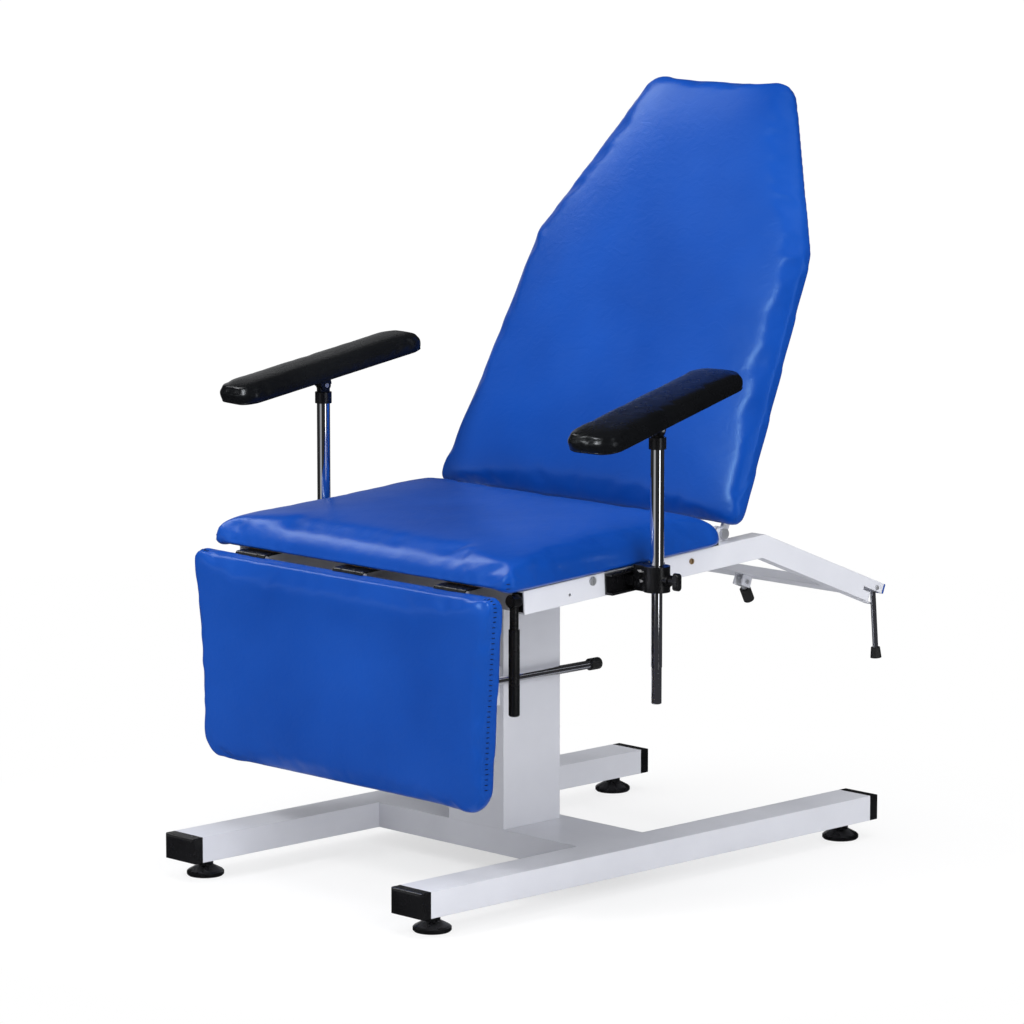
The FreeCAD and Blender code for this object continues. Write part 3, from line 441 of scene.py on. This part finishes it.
def sew(name, thing, panel, body, seams, look):
    """Groove, cord and stitches for each seam: (path, cord radius, grooved, stitched)."""
    grooved(thing, [laid(thing, path)[0] for path, _, sunk, _ in seams if sunk])
    cords, stitches = [], []
    for path, radius, sunk, stitched in seams:
        places, normals = laid(thing, resampled(path, SEAM_STEP))
        apart = np.append(True, np.linalg.norm(np.diff(places, axis=0), axis=1) > SEAM_MERGE)
        places, normals = places[apart], normals[apart]
        if len(places) < 3:
            continue
        closed = np.allclose(path[0], path[-1])
        run = places - normals * (CORD_SINK if sunk else 0.35 * radius)
        cords.append(tube(panel.world(run[:-1] if closed else run), radius, 8, closed))
        if stitched:
            stitches += stitches_of(places, normals, panel)
    dress(joined(name + "_seams", cords), "blue_thread" if look == "blue_vinyl" else look, body)
    if stitches:
        dress(joined(name + "_stitches", stitches), "black_thread", body)


def dress(thing, look, body):
    """Give a piece its material and slot, and fix it to a body."""
    thing.data.materials.append(MATERIALS[look])
    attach(thing, body)


def ring(outline, inset, level):
    """A closed path round an outline at one level."""
    rim = shrunk(spaced(outline, RIM_STEP), inset)
    path = [(u, v, level) for u, v in rim]
    return np.array(path + path[:1])


def side_seams(panel):
    """Upright seams down both side walls of the leg panel."""
    level = panel.low + 0.62 * (panel.high - panel.low)
    rim = spaced(panel.outline, RIM_STEP)
    seams = []
    for side in (-1, 1):
        wall = rim[rim[:, 0] * side > np.abs(rim[:, 0]).max() * 0.90]
        wall = wall[np.argsort(wall[:, 1])][8:]
        path = np.column_stack([wall, np.full(len(wall), level)])
        seams.append((path, THREAD_RADIUS, True, True))
    return seams


def corner_seams(panel, inset=0.004, start=0.001, stop=0.019):
    """Short upright seams at the two front corners of the seat."""
    half, front = panel.outline[:, 0].max(), panel.outline[:, 1].min()
    seams = []
    for side in (-1, 1):
        heights = np.linspace(panel.low + start, panel.low + stop, 8)
        path = np.array([(side * (half - inset), front + inset, n) for n in heights])
        seams.append((path, THREAD_RADIUS, True, True))
    return seams


def pad_seams(panel, inset=0.002, below=0.007, above=0.002):
    """A seam round the top of an arm pad and a welt round its foot."""
    return [
        (ring(panel.outline, inset, panel.high - below), PAD_THREAD_RADIUS, True, False),
        (ring(panel.outline, inset, panel.low + above), WELT_RADIUS, False, False),
    ]


# ---- materials --------------------------------------------------------------------------------

class Nodes:
    """Short calls for the shader nodes used here."""

    def __init__(self, tree):
        self.tree = tree

    def put(self, socket, value):
        if isinstance(value, bpy.types.NodeSocket):
            self.tree.links.new(value, socket)
        else:
            socket.default_value = value

    def node(self, kind, **values):
        made = self.tree.nodes.new("ShaderNode" + kind)
        for key, value in values.items():
            self.put(made.inputs[key.replace("_", " ")], value)
        return made

    def maths(self, operation, *values):
        made = self.node("Math")
        made.operation = operation
        for socket, value in zip(made.inputs, values):
            self.put(socket, value)
        return made.outputs["Value"]

    def ramp(self, value, low=0.0, high=1.0, start=0.0, end=1.0):
        """Map low..high to start..end, held at both ends."""
        made = self.node("MapRange", Value=value, From_Min=low, From_Max=high, To_Min=start, To_Max=end)
        return made.outputs["Result"]

    def blend(self, share, first, second):
        """Mix two shaders."""
        made = self.node("MixShader")
        for socket, value in zip(made.inputs, (share, first, second)):
            self.put(socket, value)
        return made.outputs[0]


class Look(Nodes):
    """A node material round one Principled shader."""

    def __init__(self, name):
        self.material = bpy.data.materials.new(name)
        self.material.use_nodes = True
        super().__init__(self.material.node_tree)
        self.shader = self.tree.nodes["Principled BSDF"]
        self.place = self.node("TexCoord").outputs["Object"]

    def set(self, **values):
        for key, value in values.items():
            self.put(self.shader.inputs[key.replace("_", " ")], value)

    def stretched(self, scale):
        """The object coordinates scaled by three factors."""
        return self.node("Mapping", Vector=self.place, Scale=scale).outputs["Vector"]

    def noise(self, scale, detail=2.0, vector=None, distortion=0.0):
        made = self.node("TexNoise", Scale=scale, Detail=detail, Distortion=distortion,
                         Vector=vector or self.place)
        return made.outputs["Fac"]

    def cells(self, scale, vector=None):
        return self.node("TexVoronoi", Scale=scale, Vector=vector or self.place).outputs["Distance"]

    def colours(self, value, first, second):
        made = self.node("Mix")
        made.data_type = "RGBA"
        self.put(made.inputs["Factor"], value)
        made.inputs["A"].default_value = (*first, 1)
        made.inputs["B"].default_value = (*second, 1)
        return made.outputs["Result"]

    def sum(self, first, second, share=1.0):
        return self.maths("MULTIPLY_ADD", second, share, first)

    def bump(self, height, distance, strength=1.0, rounding=0.0):
        made = self.node("Bump", Height=height, Distance=distance, Strength=strength)
        if rounding:
            bevel = self.node("Bevel", Radius=rounding)
            bevel.samples = 4
            self.put(made.inputs["Normal"], bevel.outputs["Normal"])
        self.put(self.shader.inputs["Normal"], made.outputs["Normal"])


def vinyl(name, dark, light, rough_low, rough_high, shine, tint):
    """Upholstery vinyl: fine pebble grain, soft drag marks and uneven sheen."""
    look = Look(name)
    patches = look.noise(5.0, 3.0)
    look.set(Base_Color=look.colours(look.ramp(patches, 0.3, 0.7), dark, light))
    marks = look.noise(38.0, 4.0, look.stretched((1.0, 0.7, 1.6)), 1.8)
    creases = look.cells(70.0, look.stretched((1.0, 0.8, 1.3)))
    pebbles = look.cells(900.0)
    fine = look.noise(420.0, 3.0)
    height = look.sum(look.sum(look.sum(marks, creases, 0.20), fine, 0.15), pebbles, 0.12)
    look.bump(height, 0.0011, 0.26)
    look.set(Roughness=look.ramp(look.noise(24.0, 4.0), start=rough_low, end=rough_high),
             Specular_IOR_Level=shine, Specular_Tint=(*tint, 1))
    return look.material


def powder_coat(name, first, second, rough):
    """Baked powder paint on steel tube with orange peel and a little handling dirt."""
    look = Look(name)
    dirt = look.ramp(look.noise(9.0, 5.0), 0.35, 0.75)
    look.set(Base_Color=look.colours(dirt, first, second))
    peel = look.noise(650.0, 2.0)
    waves = look.noise(60.0, 2.0)
    look.bump(look.sum(peel, waves, 0.6), 0.00025, 0.35, rounding=0.0012)
    look.set(Roughness=look.ramp(look.noise(40.0, 3.0), start=rough - 0.06, end=rough + 0.08),
             Specular_IOR_Level=0.5)
    return look.material


def moulded(name, first, second, rough, grain=0.0002, rounding=0.0010):
    """Moulded plastic or rubber with a fine spark grain."""
    look = Look(name)
    look.set(Base_Color=look.colours(look.ramp(look.noise(18.0, 4.0), 0.3, 0.7), first, second))
    look.bump(look.sum(look.noise(1400.0, 2.0), look.noise(90.0, 2.0), 0.5), grain, 0.5,
              rounding=rounding)
    look.set(Roughness=look.ramp(look.noise(70.0, 4.0), start=rough - 0.07, end=rough + 0.10),
             Specular_IOR_Level=0.45)
    return look.material


def plated(name, tint, rough, streak, metal=1.0):
    """Bright plated steel with faint drawing lines and finger haze."""
    look = Look(name)
    haze = look.ramp(look.noise(26.0, 4.0), 0.4, 0.8)
    look.set(Metallic=metal, Base_Color=look.colours(haze, tint, tuple(0.88 * c for c in tint)))
    lines = look.noise(240.0, 2.0, look.stretched((1.0, 1.0, 0.06)))
    look.bump(lines, 0.00004, streak)
    look.set(Roughness=look.ramp(haze, start=rough, end=rough + 0.07))
    return look.material


def cloth_lining(name):
    """Non-woven dust cover: thin felted fibres."""
    look = Look(name)
    fibres = look.noise(700.0, 5.0, None, 2.0)
    look.set(Base_Color=look.colours(fibres, (0.012, 0.012, 0.014), (0.05, 0.05, 0.055)),
             Roughness=0.95, Specular_IOR_Level=0.15)
    look.bump(look.sum(fibres, look.noise(14.0, 2.0), 1.2), 0.0012, 0.7)
    return look.material


def ply(name):
    """Birch plywood: long grain on the faces."""
    look = Look(name)
    grain = look.noise(26.0, 6.0, look.stretched((1.0, 14.0, 14.0)), 0.6)
    tone = look.colours(look.ramp(grain, 0.35, 0.65), (0.46, 0.30, 0.16), (0.66, 0.49, 0.30))
    look.set(Base_Color=tone, Roughness=0.62)
    look.bump(grain, 0.0005, 0.4)
    return look.material


BLUE_DARK = (0.0020, 0.044, 0.280)
BLUE_LIGHT = (0.0045, 0.060, 0.350)
BLUE_SHEEN = (0.40, 0.74, 1.0)
PAD_DARK = (0.0022, 0.0024, 0.003)
PAD_LIGHT = (0.0055, 0.006, 0.007)
PAD_SHEEN = (0.9, 0.95, 1.0)

MATERIALS = {
    "blue_vinyl": vinyl("blue_vinyl", BLUE_DARK, BLUE_LIGHT, 0.27, 0.36, 0.36, BLUE_SHEEN),
    "black_vinyl": vinyl("black_vinyl", PAD_DARK, PAD_LIGHT, 0.22, 0.32, 0.3, PAD_SHEEN),
    "white_steel": powder_coat("white_steel", (0.66, 0.67, 0.72), (0.60, 0.61, 0.66), 0.40),
    "black_steel": powder_coat("black_steel", (0.003, 0.003, 0.0035), (0.008, 0.008, 0.009), 0.26),
    "black_plastic": moulded("black_plastic", (0.003, 0.003, 0.0035), (0.008, 0.008, 0.009), 0.24),
    "rubber": moulded("rubber", (0.008, 0.008, 0.008), (0.022, 0.022, 0.021), 0.55, 0.0003),
    "blue_plastic": moulded("blue_plastic", (0.010, 0.05, 0.26), (0.016, 0.07, 0.34), 0.28),
    "chrome": plated("chrome", (0.80, 0.81, 0.84), 0.05, 0.25),
    "grey_steel": plated("grey_steel", (0.52, 0.53, 0.55), 0.30, 0.6, metal=0.6),
    "brass": plated("brass", (0.36, 0.24, 0.12), 0.32, 0.6, metal=0.6),
    "plywood": ply("plywood"),
    "lining": cloth_lining("lining"),
    "blue_thread": moulded("blue_thread", (0.006, 0.020, 0.12), (0.010, 0.032, 0.18), 0.6),
    "black_thread": moulded("black_thread", (0.004, 0.004, 0.004), (0.010, 0.010, 0.010), 0.55),
}

for node_name, node_object in frame["nodes"].items():
    node_object.data.materials.clear()
    node_object.data.materials.append(MATERIALS[SLOT_OF[node_name]])

# the small screws in the seat rails, behind the large ones, are brass coloured
screws = frame["nodes"]["frame_screws"].data
screws.materials.append(MATERIALS["brass"])
screws_low, screws_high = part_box("frame_screws")
for polygon in screws.polygons:
    polygon.material_index = int(polygon.center.y > (screws_low.y + screws_high.y) / 2)


# ---- the five cushions ------------------------------------------------------------------------

def skirted(points, panel):
    """Let the sides of the seat cover hang a little below the board."""
    half = panel.outline[:, 0].max()
    beside = np.clip((np.abs(points[:, 0]) - (half - SKIRT_START)) / SKIRT_BLEND, 0, 1)
    low = np.clip((panel.low + SKIRT_HEIGHT - points[:, 2]) / SKIRT_HEIGHT, 0, 1)
    lowered = points.copy()
    lowered[:, 2] -= SKIRT_DROP * beside * low
    return lowered


seat_panel = cushion(
    "seat_pad", "seat_cushion", "seat_board", "base",
    rims=(0.020, 0.030, 0.022), crowns=(0.17, 0.13, 0.10), wall=0.004, drop=0.012,
    look="blue_vinyl", shape=skirted, seams=corner_seams,
)
leg_panel = cushion(
    "leg_pad", "leg_cushion", "leg_board", "leg_rest",
    rims=(0.009, 0.013, 0.006), crowns=(0.10, 0.10, 0.05), wall=0.016, drop=0.004,
    look="blue_vinyl", seams=side_seams,
)
back_panel = cushion(
    "back_pad", "backrest_cushion", "backrest_board", "backrest",
    rims=(0.011, 0.018, 0.010), crowns=(0.15, 0.14, 0.11), wall=0.012, drop=0.010,
    look="blue_vinyl",
)
for side in ("left", "right"):
    cushion(
        "arm_pad_" + side, "armrest_pad_" + side, "armrest_plate_" + side, "pad_" + side,
        rims=(0.009, 0.010, 0.009), crowns=(0.040, 0.050, 0.040), wall=0.014, drop=0.003,
        look="black_vinyl", voxel=PAD_VOXEL, cap=PAD_SWELL, seams=pad_seams,
    )


# ---- linings ----------------------------------------------------------------------------------

def lining(name, panel, body):
    """Thin dust cover over the back of a board, sagging very slightly."""
    rim = spaced(shrunk(spaced(panel.board_outline, 0.004), LINING_INSET), LINING_STEP)
    points = [(u * (1 - share), v * (1 - share), panel.board_back - sag)
              for share, sag in LINING_RINGS for u, v in rim]
    count = len(rim)
    faces = []
    for band in range(len(LINING_RINGS) - 1):
        a, b = band * count, (band + 1) * count
        faces += [(a + i, b + i, b + (i + 1) % count, a + (i + 1) % count) for i in range(count)]
    faces.append(tuple(range(len(points) - count, len(points)))[::-1])
    dress(new_object(name, panel.world(points), faces), "lining", body)
    staple(name + "_staples", panel, body)


def staple(name, panel, body):
    """Wire staples round the edge of a dust cover."""
    path = spaced(shrunk(spaced(panel.board_outline, 0.004), STAPLE_INSET), STAPLE_SPACING)
    ahead = np.roll(path, -1, 0) - np.roll(path, 1, 0)
    foot, back = panel.board_back - STAPLE_FOOT, panel.board_back - STAPLE_BACK
    staples = []
    for middle, way in zip(path, ahead):
        first, last = middle - STAPLE_HALF * unit(way), middle + STAPLE_HALF * unit(way)
        wire = [(*first, foot), (*first, back), (*last, back), (*last, foot)]
        staples.append(tube(panel.world(wire), STAPLE_RADIUS, 6))
    dress(joined(name, staples), "grey_steel", body)


lining("back_lining", back_panel, "backrest")
lining("seat_lining", seat_panel, "base")
lining("leg_lining", leg_panel, "leg_rest")


# ---- floor, light and camera ------------------------------------------------------------------

def glowing(look, below, kind, colour, near, far):
    """Lay an even glow over a shader for one kind of ray, rising with the distance from the middle."""
    away = look.node("VectorMath")
    away.operation = "LENGTH"
    look.put(away.inputs[0], look.place)
    glow = look.node("Emission", Color=(*colour, 1), Strength=1.0)
    seen = look.node("LightPath").outputs[kind]
    share = look.maths("MULTIPLY", seen, look.ramp(away.outputs["Value"], near, far))
    return look.blend(share, below, glow.outputs[0])


def floor():
    """Pale floor that fades to plain white in view and to dark in reflections away from the chair."""
    angles = [2 * math.pi * k / FLOOR_SIDES for k in range(FLOOR_SIDES)]
    rim = [(FLOOR_RADIUS * math.cos(a), FLOOR_RADIUS * math.sin(a), 0) for a in angles]
    ground = new_object("floor", rim, [tuple(range(FLOOR_SIDES))], smooth=False)
    look = Look("floor")
    tone = look.colours(look.noise(3.0, 3.0), (0.90, 0.90, 0.91), (0.93, 0.93, 0.935))
    look.set(Base_Color=tone, Roughness=0.7, Specular_IOR_Level=0.1)
    surface = glowing(look, look.shader.outputs[0], "Is Camera Ray", (1, 1, 1), -1.2, 0.95)
    surface = glowing(look, surface, "Is Glossy Ray", (0.04, 0.04, 0.045), 0.05, 0.35)
    look.put(look.tree.nodes["Material Output"].inputs["Surface"], surface)
    ground.data.materials.append(look.material)


def softbox(name, place, target, size, energy, glint=True):
    lamp = bpy.data.lights.new(name, "AREA")
    lamp.shape = "SQUARE"
    lamp.size = size
    lamp.energy = energy
    holder = bpy.data.objects.new(name, lamp)
    holder.location = place
    holder.rotation_euler = (Vector(target) - Vector(place)).to_track_quat("-Z", "Y").to_euler()
    holder.visible_camera = False
    holder.visible_glossy = glint
    bpy.context.scene.collection.objects.link(holder)


def window(sky, bearing, height, middle, half, soft, low, high, strength):
    """A bright panel at one bearing (degrees), between two heights of view."""
    facing = sky.maths("COSINE", sky.maths("SUBTRACT", bearing, math.radians(middle)))
    share = sky.ramp(facing, math.cos(math.radians(half + soft)), math.cos(math.radians(half)))
    rise = sky.ramp(height, low, low + WINDOW_EDGE)
    fall = sky.ramp(height, high, high + WINDOW_EDGE, start=strength, end=0.0)
    return sky.maths("MULTIPLY", share, sky.maths("MULTIPLY", rise, fall))


WINDOWS = (                 # bearing, half width and soft edge in degrees, sill, head, strength
    (-5, 4, 3, -0.6, 0.6, 3.0),
    (-92, 12, 8, -0.5, 0.35, 0.4),
    (150, 7, 6, -0.5, 0.3, 0.5),
    (-135, 10, 6, 0.02, 0.25, 1.0),
)
WALL_GLOW = 0.025


def studio():
    """White to the camera, even light for diffuse surfaces, dark walls with windows for chrome."""
    world = bpy.data.worlds.new("studio")
    world.use_nodes = True
    bpy.context.scene.world = world
    world.node_tree.nodes.clear()
    sky = Nodes(world.node_tree)
    view = sky.node("SeparateXYZ", Vector=sky.node("TexCoord").outputs["Generated"])
    bearing = sky.maths("ARCTAN2", view.outputs["Y"], view.outputs["X"])
    shine = WALL_GLOW
    for values in WINDOWS:
        shine = sky.maths("ADD", shine, window(sky, bearing, view.outputs["Z"], *values))
    rays = sky.node("LightPath")
    seen = sky.node("Background", Color=(1, 1, 1, 1), Strength=1.02)
    even = sky.node("Background", Color=(0.97, 0.98, 1.0, 1), Strength=0.60)
    mirror = sky.node("Background", Color=(0.97, 0.98, 1.0, 1), Strength=shine)
    soft = sky.blend(rays.outputs["Is Glossy Ray"], even.outputs[0], mirror.outputs[0])
    whole = sky.blend(rays.outputs["Is Camera Ray"], soft, seen.outputs[0])
    sky.node("OutputWorld", Surface=whole)


def camera():
    lens = bpy.data.cameras.new("camera")
    lens.sensor_width = SENSOR
    lens.lens = CAMERA_LENS
    lens.clip_end = 50
    holder = bpy.data.objects.new("camera", lens)
    holder.location = CAMERA_PLACE
    holder.rotation_euler = (math.pi / 2 - CAMERA_PITCH, 0, CAMERA_AZIMUTH)
    bpy.context.scene.collection.objects.link(holder)
    bpy.context.scene.camera = holder


floor()
studio()
softbox("key", (-0.45, -2.80, 2.45), LAMP_TARGET, size=0.9, energy=18)
softbox("sheen", (-0.75, -2.60, 2.55), LAMP_TARGET, size=0.6, energy=34)
softbox("left", (-2.40, -0.30, 2.60), (0, -0.3, 0.5), size=0.8, energy=13)
softbox("fill", (3.2, -0.9, 1.9), LAMP_TARGET, size=1.8, energy=52, glint=False)
softbox("top", (0.5, 0.0, 3.6), LAMP_TARGET, size=2.2, energy=52, glint=False)
camera()
bpy.context.scene.view_settings.view_transform = "Standard"
